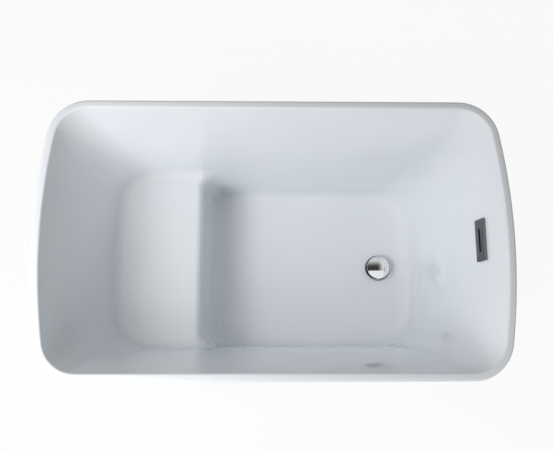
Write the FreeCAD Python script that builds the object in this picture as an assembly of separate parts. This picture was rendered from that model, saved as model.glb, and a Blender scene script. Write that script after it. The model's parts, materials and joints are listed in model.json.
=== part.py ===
import FreeCAD, Part

import functools
import math
import os

from FreeCAD import Placement, Rotation, Vector

# A free-standing soaking bath: an acrylic inner basin with a moulded seat, bonded at its slim rim
# to an acrylic skirt, on a steel frame with four levelling feet, with a pop-up drain and a slot
# overflow. Millimetres, +X towards the drain end, +Z up, origin on the room floor under the middle.

# Plan of the rim
tub_length = 1200.0
tub_width = 710.0
end_bow_radius = 1640.0
corner_radius = 105.0

# Rolled rim and the lip that turns down over the skirt
rim_width = 20.0
rim_edge_radius = 6.0
lip_depth = 14.0
bond_width = 7.0

# Inside of the bath
bath_depth = 500.0
seat_depth = 320.0
seat_front_setback = 205.0
seat_front_angle = 9.0
seat_nose_radius = 22.0
seat_foot_radius = 30.0
seat_back_foot_radius = 25.0
wall_foot_radius = 28.0
drain_wall_foot_radius = 85.0
floor_corner_radius = 115.0
drain_wall_angle = 15.5
seat_wall_angle = 22.6
side_wall_draw = 92.0
wall_section_count = 5

# Sheet thicknesses
basin_sheet = 5.0
basin_laminate_thickness = 4.0
skirt_sheet = 4.0
skirt_laminate_thickness = 3.0

# Skirt
skirt_angle = 5.2
skirt_base_corner_radius = 90.0
skirt_ground_gap = 5.0
skirt_laminate_base_gap = 15.0

# Steel frame and boards
bar_size = 25.0
bar_wall = 1.5
bar_ground_clearance = 53.0
rail_floor_inset = 72.4
rail_end_inset = 114.0
crossbar_place_shares = (-0.88, -0.09, 0.56)
crossbar_names = ("seat", "middle", "drain")
board_thickness = 18.0
board_overhang = 12.5
floor_board_drain_gap = 56.0
floor_board_foot_gap = 10.0
seat_board_edge_gap = 16.0
seat_post_place_share = 0.55
batten_thickness = 30.0
batten_height = 45.0
batten_end_inset = 124.0

# Frame screws
screw_diameter = 6.0
screw_head_flats = 10.0
screw_head_height = 4.0
screw_reach = 4.0
screw_clearance = 0.2

# Levelling feet
foot_end_inset = 25.0
stud_diameter = 12.0
stud_bore_clearance = 0.3
stud_top_margin = 3.0
bracket_wall = 7.0
bracket_drop = 8.0
lock_nut_flats = 19.0
lock_nut_height = 10.0
stud_hex_flats = 17.0
stud_hex_height = 8.0
stud_hex_pad_gap = 8.0
pad_diameter = 50.0
pad_height = 14.0
pad_crown_diameter = 34.0
pad_edge_height = 6.0
pad_socket_depth = 8.0
pad_socket_diameter = 10.0

# Drain body
drain_wall_setback = 110.0
drain_hole_diameter = 52.0
drain_flange_diameter = 80.0
drain_flange_thickness = 3.0
drain_sleeve_diameter = 48.0
drain_sleeve_length = 52.0
drain_bore_diameter = 40.0
drain_mouth_diameter = 46.0
drain_fit_clearance = 0.3
top_gasket_diameter = 76.0
top_gasket_thickness = 1.5
bottom_gasket_diameter = 70.0
bottom_gasket_thickness = 4.0
slip_washer_diameter = 68.0
slip_washer_thickness = 1.5
back_nut_flats = 62.0
back_nut_height = 12.0
spider_drop = 20.0
spider_height = 15.0
spider_arm_width = 4.0
spider_arm_count = 3
hub_diameter = 18.0

# Pop-up cap, at rest in its open place
cap_diameter = 70.0
cap_edge_thickness = 2.6
cap_edge_round = 1.0
cap_crown = 6.0
cap_travel = 10.0
cap_seal_diameter = 60.0
cap_seal_bore = 49.0
cap_seal_thickness = 2.5
cap_seal_closed_gap = 0.3
cap_boss_diameter = 16.0
cap_boss_depth = 6.0
cap_socket_depth = 2.5
stem_diameter = 10.0
stem_tail = 9.0
stem_groove_diameter = 7.0
clip_diameter = 14.0
clip_thickness = 1.5
clip_gap = 4.0
spring_diameter = 16.0
spring_wire = 1.5
spring_turns = 6
spring_seat_clearance = 0.1

# Waste tee under the drain
tee_seal_height = 5.5
tee_socket_wall = 3.5
tee_socket_depth = 28.0
tee_shoulder_height = 4.0
tee_chamber_diameter = 50.0
tee_chamber_height = 30.0
tee_wall = 3.0
outlet_diameter = 40.0
outlet_length = 24.0
tee_port_reach = 20.0

# Overflow, in the drain-end wall
overflow_drop = 109.0
overflow_side_shift = 11.0
overflow_land_rise = 2.0
overflow_land_margin = 4.0
overflow_land_root = 2.5
overflow_pad_rise = 1.5
overflow_pad_root = 2.0
cover_length = 112.0
cover_height = 42.0
cover_depth = 8.0
cover_wall = 1.5
cover_corner_radius = 3.0
cover_fit_clearance = 0.3
cover_slot_length = 65.0
cover_slot_height = 8.0
frame_depth = 4.0
frame_window_length = 62.0
frame_window_height = 16.0
window_corner_radius = 4.0
gasket_length = 100.0
gasket_height = 34.0
gasket_thickness = 2.0
body_flange_depth = 3.0
body_cup_depth = 16.5
body_wall = 2.0
overflow_screw_spacing = 80.0
overflow_screw_diameter = 5.0
overflow_screw_head_diameter = 9.0
overflow_screw_head_depth = 2.0

# Overflow hose
hose_bore = 18.0
hose_wall = 3.0
hose_bend_radius = 95.0
hose_spigot_wall = 2.0
hose_spigot_length = 24.0
hose_end_gap = 3.0
hose_fit_clearance = 0.1
hose_clip_width = 9.0
hose_clip_thickness = 1.4
hose_clip_end_gap = 6.0
hose_clip_housing_rise = 5.0
hose_clip_housing_length = 14.0

# One overrun for every cut that passes right through
cut_overrun = 20.0
edge_tolerance = 0.01

# Heights that follow from the stack of pieces
crossbar_base = bar_ground_clearance
rail_base = crossbar_base + bar_size
rail_top = rail_base + bar_size
floor_board_top = rail_top + board_thickness
floor_z = floor_board_top + basin_laminate_thickness + basin_sheet
rim_z = floor_z + bath_depth
seat_z = rim_z - seat_depth
lip_base = rim_z - lip_depth
shell_thickness = basin_sheet + basin_laminate_thickness
skirt_thickness = skirt_sheet + skirt_laminate_thickness

# Plan places that follow
drain_wall_slope = math.tan(math.radians(drain_wall_angle))
seat_wall_slope = math.tan(math.radians(seat_wall_angle))
skirt_slope = math.tan(math.radians(skirt_angle))
inner_half_length = tub_length / 2 - rim_width
inner_half_width = tub_width / 2 - rim_width
floor_half_width = inner_half_width - side_wall_draw
floor_drain_end = inner_half_length - bath_depth * drain_wall_slope
seat_back_end = inner_half_length - seat_depth * seat_wall_slope
seat_foot_x = (seat_depth - bath_depth) * -math.tan(math.radians(seat_front_angle)) - seat_front_setback
base_half_length = tub_length / 2 - (lip_base - skirt_ground_gap) * skirt_slope
rail_y = floor_half_width - rail_floor_inset
rail_half_length = base_half_length - rail_end_inset
drain_x = floor_drain_end - drain_wall_setback


def disc(diameter, low, high, x=0, y=0):
    """A round solid standing on the height low, about a vertical line through x, y."""
    return Part.makeCylinder(diameter / 2, high - low, Vector(x, y, low))


def ring(outer, inner, low, high, x=0, y=0):
    """A flat ring or a sleeve with a vertical axis."""
    return disc(outer, low, high, x, y).cut(disc(inner, low, high, x, y))


def block(x_low, x_high, y_low, y_high, low, high):
    """A box between two corners."""
    return Part.makeBox(x_high - x_low, y_high - y_low, high - low, Vector(x_low, y_low, low))


def hexagon(flats, low, high, x=0, y=0):
    """A six-sided prism, measured across its flats."""
    corner = flats / math.sqrt(3)
    turns = [math.radians(60 * side) for side in range(7)]
    points = [Vector(x + corner * math.cos(t), y + corner * math.sin(t), low) for t in turns]
    return Part.Face(Part.makePolygon(points)).extrude(Vector(0, 0, high - low))


def rod(start, direction, length, diameter):
    """A round rod from a point, along a direction."""
    return Part.makeCylinder(diameter / 2, length, start, direction)


def turned(edges, x=0, y=0):
    """A solid of revolution from the closed run of edges, drawn in the XZ plane, about x, y."""
    solid = Part.Face(Part.Wire(edges)).revolve(Vector(0, 0, 0), Vector(0, 0, 1), 360)
    solid.translate(Vector(x, y, 0))
    return solid


def segments(points, closed=True):
    """Straight edges from point to point."""
    ends = points[1:] + points[:1] if closed else points[1:]
    return [Part.LineSegment(a, b).toShape() for a, b in zip(points, ends)]


def outline(seat_end, drain_end, half_width, end_radius, corner, height):
    """A closed rounded rectangle at a height, with bowed ends and straight long sides."""
    run = half_width - corner
    points = {}
    for side, end in ((1, drain_end), (-1, seat_end)):
        middle = end - side * end_radius
        reach = math.sqrt((end_radius - corner) ** 2 - run ** 2)
        turn = math.atan2(run, reach)
        half_turn = (turn + math.pi / 2) / 2
        corner_x = middle + side * reach
        points[side] = (
            (end, 0),
            (middle + side * end_radius * math.cos(turn), end_radius * math.sin(turn)),
            (corner_x + side * corner * math.cos(half_turn), run + corner * math.sin(half_turn)),
            (corner_x, half_width),
        )

    def point(side, index, mirror=1):
        x, y = points[side][index]
        return Vector(x, y * mirror, height)

    return Part.Wire([
        Part.Arc(point(1, 1, -1), point(1, 0), point(1, 1)).toShape(),
        Part.Arc(point(1, 1), point(1, 2), point(1, 3)).toShape(),
        Part.LineSegment(point(1, 3), point(-1, 3)).toShape(),
        Part.Arc(point(-1, 3), point(-1, 2), point(-1, 1)).toShape(),
        Part.Arc(point(-1, 1), point(-1, 0), point(-1, 1, -1)).toShape(),
        Part.Arc(point(-1, 1, -1), point(-1, 2, -1), point(-1, 3, -1)).toShape(),
        Part.LineSegment(point(-1, 3, -1), point(1, 3, -1)).toShape(),
        Part.Arc(point(1, 3, -1), point(1, 2, -1), point(1, 1, -1)).toShape(),
    ])


def rim_outline(inset, height):
    """The rim's plan, drawn in by an inset."""
    half_length = tub_length / 2 - inset
    half_width = tub_width / 2 - inset
    end_radius = end_bow_radius - inset
    return outline(-half_length, half_length, half_width, end_radius, corner_radius - inset, height)


def rim_slab(inset, low, high):
    """An upright slab with the rim's plan."""
    return Part.Face(rim_outline(inset, low)).extrude(Vector(0, 0, high - low))


def bath_outline(offset, height):
    """The bath's inner plan at a height, grown by an offset; the long sides flare upwards."""
    depth = rim_z - height
    share = depth / bath_depth
    rim_corner = corner_radius - rim_width
    corner = rim_corner + (floor_corner_radius - rim_corner) * share + offset
    return outline(
        -(inner_half_length - depth * seat_wall_slope + offset),
        inner_half_length - depth * drain_wall_slope + offset,
        floor_half_width + side_wall_draw * (1 - share) ** 2 + offset,
        end_bow_radius - rim_width + offset,
        corner,
        height,
    )


def rounded_corner(corner, arriving, leaving, radius):
    """The start, middle and end of the arc that rounds a corner between two directions."""
    angle = math.acos(-arriving.dot(leaving))
    run = radius / math.tan(angle / 2)
    inward = (leaving - arriving).normalize()
    middle = corner + inward * (radius / math.sin(angle / 2) - radius)
    return corner - arriving * run, middle, corner + leaving * run


def under_bath(offset):
    """All the space under the seat, the seat's front and the floor, lowered by an offset."""
    far = tub_length
    low = -tub_width
    half = tub_width
    seat = seat_z - offset
    floor = floor_z - offset
    lean = math.radians(seat_front_angle)
    along = Vector(1, 0, 0)
    down = Vector(math.sin(lean), 0, -math.cos(lean))
    shift = offset / math.cos(lean) - offset * math.tan(lean)
    nose = Vector(-seat_front_setback - shift, -half, seat)
    foot = nose + down * ((seat - floor) / math.cos(lean))
    nose_arc = rounded_corner(nose, along, down, seat_nose_radius - offset)
    foot_arc = rounded_corner(foot, down, along, seat_foot_radius + offset)
    start = Vector(-far, -half, seat)
    end = Vector(far, -half, floor)
    edges = segments([start, nose_arc[0]], closed=False)
    edges.append(Part.Arc(*nose_arc).toShape())
    edges += segments([nose_arc[2], foot_arc[0]], closed=False)
    edges.append(Part.Arc(*foot_arc).toShape())
    below = [Vector(far, -half, low), Vector(-far, -half, low)]
    edges += segments([foot_arc[2], end, *below, start], closed=False)
    return Part.Face(Part.Wire(edges)).extrude(Vector(0, half * 2, 0))


@functools.lru_cache
def bath_space(offset):
    """The hollow of the bath, to just over the rim, grown by an offset, with its walls' feet rounded."""
    top = rim_z + cut_overrun
    drop = top - floor_z + offset + cut_overrun
    drop_shares = [step / (wall_section_count - 1) for step in range(wall_section_count)]
    sections = [bath_outline(offset, top - drop * share) for share in drop_shares]
    space = Part.makeLoft(sections, True, False).cut(under_bath(offset))
    walls = [f for f in space.Faces if f.BoundBox.ZMax > top - edge_tolerance > f.BoundBox.ZMin]
    bottoms = [f for f in space.Faces if f.BoundBox.ZMax < top - edge_tolerance]
    wall_edges = [e for f in walls for e in f.Edges]
    loop = [e for f in bottoms for e in f.Edges if any(e.isSame(w) for w in wall_edges)]
    return round_foot(space, loop, offset)


def foot_radius_at(point, offset):
    """Radius of the rounding at the walls' feet: larger at the drain end, tight behind the seat."""
    if point.x > floor_drain_end - floor_corner_radius / 2:
        return offset + drain_wall_foot_radius
    if point.x < floor_corner_radius / 2 - seat_back_end:
        return offset + seat_back_foot_radius
    return offset + wall_foot_radius


def round_foot(space, loop, offset):
    """The bath's hollow with its loop of lower edges rounded, the radius growing round the corners."""
    document = FreeCAD.newDocument("bath")
    base = document.addObject("Part::Feature", "space")
    base.Shape = space
    rounding = document.addObject("Part::Fillet", "rounding")
    rounding.Base = base
    rows = []
    for index, edge in enumerate(space.Edges, start=1):
        if any(edge.isSame(e) for e in loop):
            ends = (edge.valueAt(edge.FirstParameter), edge.valueAt(edge.LastParameter))
            rows.append((index, *[foot_radius_at(end, offset) for end in ends]))
    rounding.Edges = rows
    document.recompute()
    rounded = rounding.Shape.copy()
    FreeCAD.closeDocument(document.Name)
    return rounded


def skirt_outline(inset, height):
    """The plan of the skirt at a height, drawn in by an inset."""
    drawn_in = (lip_base - height) * skirt_slope + inset
    share = (lip_base - height) / (lip_base - skirt_ground_gap)
    half_length = tub_length / 2 - drawn_in
    half_width = tub_width / 2 - drawn_in
    corner = corner_radius + (skirt_base_corner_radius - corner_radius) * share - inset
    return outline(-half_length, half_length, half_width, end_bow_radius - drawn_in, corner, height)


@functools.lru_cache
def skirt_space(inset):
    """The space inside the skirt, drawn in by an inset, to just over its ends."""
    low = skirt_ground_gap - cut_overrun
    high = lip_base + cut_overrun
    return Part.makeLoft([skirt_outline(inset, high), skirt_outline(inset, low)], True, True)


def between(shape, low, high):
    """The part of a shape between two heights."""
    x = tub_length
    y = tub_width
    return shape.common(block(-x, x, -y, y, low, high))


def skirt_shell(outer_inset, inner_inset, low, high):
    """A wall of the skirt between two insets and two heights, open at both ends."""
    return between(skirt_space(outer_inset).cut(skirt_space(inner_inset)), low, high)


def on_overflow(shape):
    """A shape drawn with X pointing out behind the wall and Z up it, put in place on the drain-end wall."""
    x = inner_half_length - overflow_drop * drain_wall_slope
    lean = Rotation(Vector(0, 1, 0), drain_wall_angle)
    shape.Placement = Placement(Vector(x, overflow_side_shift, rim_z - overflow_drop), lean)
    return shape


def overflow_plate(front, back, length, height, radius):
    """A rounded plate on the drain-end wall, between two depths behind the wall's face."""
    y = length / 2
    z = height / 2
    plate = block(front, back, -y, y, -z, z)
    edges = [e for e in plate.Edges if abs(e.BoundBox.XLength - (back - front)) < edge_tolerance]
    return on_overflow(plate.makeFillet(radius, edges))


# Depths behind the drain-end wall's face of the pieces of the overflow, front to back
land_face = -overflow_land_rise
frame_face = land_face - frame_depth
cover_face = land_face - cover_depth
pad_face = shell_thickness * math.cos(math.radians(drain_wall_angle)) + overflow_pad_rise
gasket_back = pad_face + gasket_thickness
flange_back = gasket_back + body_flange_depth
cup_back = flange_back + body_cup_depth
cup_middle = (flange_back + cup_back) / 2
cup_length = frame_window_length + body_wall * 4
cup_height = frame_window_height + body_wall * 4

# Heights of the drain's pieces
flange_base = floor_z + top_gasket_thickness
flange_top = flange_base + drain_flange_thickness
sleeve_base = floor_z - drain_sleeve_length
shell_base = floor_z - shell_thickness
bottom_gasket_base = shell_base - bottom_gasket_thickness
washer_base = bottom_gasket_base - slip_washer_thickness
back_nut_base = washer_base - back_nut_height
hub_top = floor_z - spider_drop
hub_base = hub_top - spider_height
tee_seal_base = back_nut_base - tee_seal_height
tee_shoulder = tee_seal_base - tee_socket_depth
chamber_top = tee_shoulder - tee_shoulder_height
chamber_base = chamber_top - tee_chamber_height
outlet_base = chamber_base - outlet_length
port_z = (chamber_top + chamber_base) / 2
seal_base = flange_top + cap_seal_closed_gap + cap_travel
cap_base = seal_base + cap_seal_thickness
boss_base = cap_base - cap_boss_depth
stem_top = cap_base + cap_socket_depth
clip_base = hub_base - clip_thickness


def inner_basin():
    """The acrylic bath with its seat, rolled rim and lip, drain hole and overflow window."""
    flange = rim_slab(0, lip_base, rim_z).cut(rim_slab(basin_sheet, lip_base, rim_z - basin_sheet))
    shell = between(bath_space(basin_sheet), 0, rim_z)
    basin = flange.fuse(shell).cut(bath_space(0))
    rim_edges = [e for e in basin.Edges if e.BoundBox.ZMin > rim_z - edge_tolerance]
    basin = basin.makeFillet(rim_edge_radius, rim_edges)
    land_length = cover_length + overflow_land_margin * 2
    land_height = cover_height + overflow_land_margin * 2
    land = overflow_plate(land_face, overflow_land_root, land_length, land_height, cover_corner_radius)
    basin = basin.fuse(land).cut(overflow_window()).cut(overflow_screw_holes())
    return basin.cut(disc(drain_hole_diameter, shell_base - cut_overrun, rim_z, drain_x))


def basin_laminate():
    """The fibre laminate on the back of the basin, with a flat pad behind the overflow."""
    skin = between(bath_space(shell_thickness).cut(bath_space(basin_sheet)), 0, lip_base)
    root = pad_face - overflow_pad_rise - overflow_pad_root
    pad = overflow_plate(root, pad_face, cup_pad_length(), cup_pad_height(), cover_corner_radius)
    skin = skin.fuse(pad).cut(overflow_window()).cut(overflow_screw_holes())
    return skin.cut(disc(drain_hole_diameter, shell_base - cut_overrun, rim_z, drain_x))


def cup_pad_length():
    """Length of the flat pad behind the overflow, a margin round the gasket."""
    return gasket_length + overflow_land_margin * 2


def cup_pad_height():
    """Height of the flat pad behind the overflow."""
    return gasket_height + overflow_land_margin


def overflow_window():
    """The opening that the overflow's water runs through, cut in every layer of the wall."""
    return overflow_plate(cover_face, flange_back + edge_tolerance, frame_window_length, frame_window_height,
                          window_corner_radius)


def overflow_screw_places():
    """Places along the wall of the overflow's two screws."""
    return (-overflow_screw_spacing / 2, overflow_screw_spacing / 2)


def overflow_screw_holes():
    """Clearance holes for the overflow's screws, through the wall and the gasket."""
    diameter = overflow_screw_diameter + screw_clearance * 2
    length = flange_back - frame_face + cut_overrun
    holes = [rod(Vector(frame_face - cut_overrun / 2, y, 0), Vector(1, 0, 0), length, diameter)
             for y in overflow_screw_places()]
    return on_overflow(Part.makeCompound(holes))


def outer_skirt():
    """The acrylic skirt, from just above the floor up to the basin's lip."""
    return skirt_shell(0, skirt_sheet, skirt_ground_gap, lip_base)


def skirt_laminate():
    """The fibre laminate on the inside of the skirt."""
    return skirt_shell(skirt_sheet, skirt_thickness, skirt_ground_gap + skirt_laminate_base_gap, lip_base)


def rim_bond():
    """The bead that bonds the basin's rim to the top of the skirt, all the way round."""
    top = rim_z - basin_sheet
    bond = rim_slab(basin_sheet, lip_base, top)
    return bond.cut(rim_slab(basin_sheet + bond_width, lip_base - cut_overrun, top + cut_overrun))


def floor_board():
    """The board bonded under the bath's floor, which rests on the frame's rails."""
    foot_run = (seat_foot_radius + shell_thickness) * math.tan(math.radians(90 - seat_front_angle) / 2)
    x_low = seat_foot_x + foot_run + floor_board_foot_gap
    y = rail_y + bar_size / 2 + board_overhang
    return block(x_low, drain_x - floor_board_drain_gap, -y, y, rail_top, floor_board_top)


def seat_board_span():
    """Ends, half width and underside height of the board under the seat."""
    wall_run = (wall_foot_radius + shell_thickness) * math.tan(math.radians(90 - seat_wall_angle) / 2)
    back = -seat_back_end + wall_run + seat_board_edge_gap
    front = -seat_front_setback - seat_nose_radius - seat_board_edge_gap / 2
    underside = seat_z - shell_thickness - board_thickness
    return back, front, rail_y + bar_size / 2, underside


def seat_board():
    """The board bonded under the seat, which the seat posts carry."""
    back, front, y, underside = seat_board_span()
    return block(back, front, -y, y, underside, underside + board_thickness)


def seat_posts():
    """Two square posts from the rails up to the seat board."""
    back, front, _, underside = seat_board_span()
    x = back + (front - back) * seat_post_place_share
    half = bar_size / 2
    inner = half - bar_wall
    posts = []
    for y in (-rail_y, rail_y):
        post = block(x - half, x + half, y - half, y + half, rail_top, underside)
        posts.append(post.cut(block(x - inner, x + inner, y - inner, y + inner, rail_top, underside)))
    return Part.makeCompound(posts)


def crossbar_places():
    """Places along the bath of the three crossbars."""
    return [share * rail_half_length for share in crossbar_place_shares]


def frame_screw_holes():
    """Clearance holes where the crossbars are screwed up into the rails."""
    diameter = screw_diameter + screw_clearance * 2
    holes = [disc(diameter, crossbar_base - cut_overrun, rail_base + bar_wall + screw_reach, x, y)
             for x in crossbar_places() for y in (-rail_y, rail_y)]
    return Part.makeCompound(holes)


def frame_rail(y):
    """A square tube along the bath, under its floor board."""
    half = bar_size / 2
    inner = half - bar_wall
    x = rail_half_length
    rail = block(-x, x, y - half, y + half, rail_base, rail_top)
    rail = rail.cut(block(-x, x, y - inner, y + inner, rail_base + bar_wall, rail_top - bar_wall))
    return rail.cut(frame_screw_holes())


def batten_face():
    """Half the distance between the battens' inner faces, which the crossbars span."""
    height = crossbar_base + bar_size / 2
    return tub_width / 2 - (lip_base - height) * skirt_slope - skirt_thickness - batten_thickness


def frame_crossbar(x):
    """A square tube across the bath, under the rails and between the skirt's battens."""
    half = bar_size / 2
    inner = half - bar_wall
    y = batten_face()
    bar = block(x - half, x + half, -y, y, crossbar_base, rail_base)
    bar = bar.cut(block(x - inner, x + inner, -y, y, crossbar_base + bar_wall, rail_base - bar_wall))
    return bar.cut(frame_screw_holes())


def skirt_batten(side):
    """A batten bonded along the inside of a long side of the skirt, for the crossbars to bear on."""
    middle = crossbar_base + bar_size / 2
    low = middle - batten_height / 2
    high = middle + batten_height / 2
    x = base_half_length - batten_end_inset
    inner = batten_face()

    def skirt_face(height):
        return tub_width / 2 - (lip_base - height) * skirt_slope - skirt_thickness

    corners = ((inner, low), (skirt_face(low), low), (skirt_face(high), high), (inner, high))
    points = [Vector(-x, side * y, z) for y, z in corners]
    return Part.Face(Part.Wire(segments(points))).extrude(Vector(x * 2, 0, 0))


def frame_screws():
    """The screws that hold the crossbars to the rails, heads underneath."""
    screws = []
    for x in crossbar_places():
        for y in (-rail_y, rail_y):
            head = hexagon(screw_head_flats, crossbar_base - screw_head_height, crossbar_base, x, y)
            shank = disc(screw_diameter, crossbar_base, rail_base + bar_wall + screw_reach, x, y)
            screws.append(head.fuse(shank).removeSplitter())
    return Part.makeCompound(screws)


def foot_places():
    """The four feet, by end and side of the bath."""
    x = rail_half_length - foot_end_inset
    y = rail_y + bar_size / 2 + stud_diameter / 2 + stud_bore_clearance + bracket_wall
    return {
        "seat_near": (-x, -y),
        "seat_far": (-x, y),
        "drain_near": (x, -y),
        "drain_far": (x, y),
    }


bracket_base = rail_base - bracket_drop
lock_nut_base = bracket_base - lock_nut_height
stud_bore = stud_diameter + stud_bore_clearance * 2
stud_foot = pad_height - pad_socket_depth


def foot_brackets():
    """Four bosses welded to the rails' outer sides, bored for the feet's studs."""
    brackets = []
    boss_diameter = stud_bore + bracket_wall * 2
    for x, y in foot_places().values():
        side = math.copysign(1, y)
        rail_face = side * (rail_y + bar_size / 2)
        half = boss_diameter / 2
        web = block(x - half, x + half, min(rail_face, y), max(rail_face, y), bracket_base, rail_top)
        boss = disc(boss_diameter, bracket_base, rail_top, x, y).fuse(web).removeSplitter()
        brackets.append(boss.cut(disc(stud_bore, bracket_base, rail_top, x, y)))
    return Part.makeCompound(brackets)


def foot_lock_nuts():
    """The nuts that lock the feet's studs under their brackets."""
    nuts = []
    for x, y in foot_places().values():
        nut = hexagon(lock_nut_flats, lock_nut_base, bracket_base, x, y)
        nuts.append(nut.cut(disc(stud_bore, lock_nut_base, bracket_base, x, y)))
    return Part.makeCompound(nuts)


def foot_stud(x, y):
    """A levelling stud with a collar for a spanner."""
    collar_base = pad_height + stud_hex_pad_gap
    shank = disc(stud_diameter, pad_height, rail_top - stud_top_margin, x, y)
    tip = disc(pad_socket_diameter, stud_foot, pad_height, x, y)
    collar = hexagon(stud_hex_flats, collar_base, collar_base + stud_hex_height, x, y)
    return shank.fuse(tip).fuse(collar).removeSplitter()


def foot_pad(x, y):
    """A pad that stands on the floor, with a socket for its stud."""
    edge = pad_diameter / 2
    crown = pad_crown_diameter / 2
    points = [Vector(0, 0, 0), Vector(edge, 0, 0), Vector(edge, 0, pad_edge_height),
              Vector(crown, 0, pad_height), Vector(0, 0, pad_height)]
    pad = turned(segments(points), x, y)
    return pad.cut(disc(pad_socket_diameter, stud_foot, pad_height + cut_overrun, x, y))


def drain_flange():
    """The drain's flange and sleeve in one, with the spider that guides the stem."""
    rim = drain_flange_diameter / 2
    mouth = drain_mouth_diameter / 2
    bore = drain_bore_diameter / 2
    sleeve = drain_sleeve_diameter / 2
    bevel = mouth - bore
    points = [Vector(bore, 0, sleeve_base), Vector(sleeve, 0, sleeve_base), Vector(sleeve, 0, flange_base),
              Vector(rim, 0, flange_base), Vector(rim, 0, flange_top - drain_flange_thickness / 3),
              Vector(rim - drain_flange_thickness / 3, 0, flange_top), Vector(mouth, 0, flange_top),
              Vector(bore, 0, flange_top - bevel)]
    flange = turned(segments(points), drain_x)
    hub = disc(hub_diameter, hub_base, hub_top, drain_x)
    for arm in range(spider_arm_count):
        spoke = block(0, (bore + sleeve) / 2, -spider_arm_width / 2, spider_arm_width / 2, hub_base, hub_top)
        spoke.rotate(Vector(0, 0, 0), Vector(0, 0, 1), 360 * arm / spider_arm_count)
        spoke.translate(Vector(drain_x, 0, 0))
        hub = hub.fuse(spoke)
    guide = stem_diameter + drain_fit_clearance * 2
    return flange.fuse(hub).cut(disc(guide, hub_base, hub_top, drain_x))


def drain_ring(diameter, low, high):
    """A ring round the drain's sleeve."""
    return ring(diameter, drain_sleeve_diameter + drain_fit_clearance * 2, low, high, drain_x)


def drain_back_nut():
    """The nut that clamps the drain to the floor from below."""
    nut = hexagon(back_nut_flats, back_nut_base, washer_base, drain_x)
    return nut.cut(disc(drain_sleeve_diameter + drain_fit_clearance * 2, back_nut_base, washer_base, drain_x))


def drain_cap():
    """The domed pop-up cap, with a boss underneath for its stem."""
    edge = cap_diameter / 2
    boss = cap_boss_diameter / 2
    rise = cap_base + cap_edge_thickness
    top = rise + cap_crown
    round_in = edge - cap_edge_round
    sphere = (round_in ** 2 + cap_crown ** 2) / (cap_crown * 2)
    half_turn = math.asin(round_in / sphere) / 2
    crown_middle = Vector(sphere * math.sin(half_turn), 0, top - sphere * (1 - math.cos(half_turn)))
    edges = segments([Vector(0, 0, top), Vector(0, 0, boss_base), Vector(boss, 0, boss_base),
                      Vector(boss, 0, cap_base), Vector(edge, 0, cap_base),
                      Vector(edge, 0, rise - cap_edge_round), Vector(round_in, 0, rise)], closed=False)
    edges.append(Part.Arc(Vector(round_in, 0, rise), crown_middle, Vector(0, 0, top)).toShape())
    cap = turned(edges, drain_x)
    return cap.cut(disc(stem_diameter, boss_base, stem_top, drain_x))


def drain_stem():
    """The cap's stem, with a groove for the clip that stops it under the spider."""
    stem = disc(stem_diameter, clip_base - stem_tail, stem_top, drain_x)
    return stem.cut(ring(stem_diameter + cut_overrun, stem_groove_diameter, clip_base, hub_base, drain_x))


def drain_stem_clip():
    """The open clip in the stem's groove."""
    clip = ring(clip_diameter, stem_groove_diameter, clip_base, hub_base, drain_x)
    mouth = block(drain_x, drain_x + clip_diameter, -clip_gap / 2, clip_gap / 2, clip_base, hub_base)
    return clip.cut(mouth)


def coil_point(angle, radius, low, pitch):
    """A point of a coil and its direction there."""
    rise = pitch / (math.pi * 2)
    point = Vector(radius * math.cos(angle), radius * math.sin(angle), low + rise * angle)
    along = Vector(-radius * math.sin(angle), radius * math.cos(angle), rise).normalize()
    return point, along


def tangent_arc(start, corner, end):
    """The arc from start to end that is tangent to the lines through the corner."""
    chord = (start + end) * (1 / 2)
    half = (end - start).Length / 2
    turn = math.atan2((corner - chord).Length, half)
    middle = chord + (corner - chord) * (math.tan(turn / 2) / math.tan(turn))
    return Part.Arc(start, middle, end).toShape()


def biarc(start, leaving, end, arriving):
    """Two arcs that join smoothly, from a point and direction to a point and direction."""
    chord = end - start
    bend = 2 * (1 - leaving.dot(arriving))
    lean = 2 * chord.dot(leaving + arriving)
    run = (math.sqrt(lean ** 2 + 4 * bend * chord.dot(chord)) - lean) / (2 * bend)
    first = start + leaving * run
    second = end - arriving * run
    joint = (first + second) * (1 / 2)
    return [tangent_arc(start, first, joint), tangent_arc(joint, second, end)]


def drain_spring():
    """The coil spring that lifts the cap, between the spider's hub and the cap's boss."""
    radius = (spring_diameter - spring_wire) / 2
    low = hub_top + spring_wire / 2 + spring_seat_clearance
    high = boss_base - spring_wire / 2 - spring_seat_clearance
    pitch = (high - low) / spring_turns
    quarter = math.pi / 2
    edges = []
    for step in range(spring_turns * 4):
        start, leaving = coil_point(step * quarter, radius, low, pitch)
        end, arriving = coil_point((step + 1) * quarter, radius, low, pitch)
        edges += biarc(start, leaving, end, arriving)
    path = Part.Wire(edges)
    start, leaving = coil_point(0, radius, low, pitch)
    section = Part.Wire(Part.makeCircle(spring_wire / 2, start, leaving))
    spring = path.makePipeShell([section], True, False)
    spring.translate(Vector(drain_x, 0, 0))
    print("drain spring: least gap between its turns", round(pitch - spring_wire, 2))
    return spring


def spigot_root():
    """Where the overflow's spigot leaves the underside of its cup."""
    return on_overflow(Part.Vertex(Vector(cup_middle, 0, -cup_height / 2))).Vertexes[0].Point


def hose_line():
    """The overflow hose's start, corner and end, and its first direction, all in one upright plane."""
    lean = math.radians((drain_wall_angle + skirt_angle) / 2)
    down = Vector(-math.sin(lean), 0, -math.cos(lean))
    start = spigot_root() + down * ((gasket_height - cup_height) / 2 + hose_end_gap)
    end = Vector(drain_x + tee_chamber_diameter / 2 + body_wall, overflow_side_shift, port_z)
    corner = start + down * ((start.z - port_z) / math.cos(lean))
    return start, corner, end, down


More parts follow.
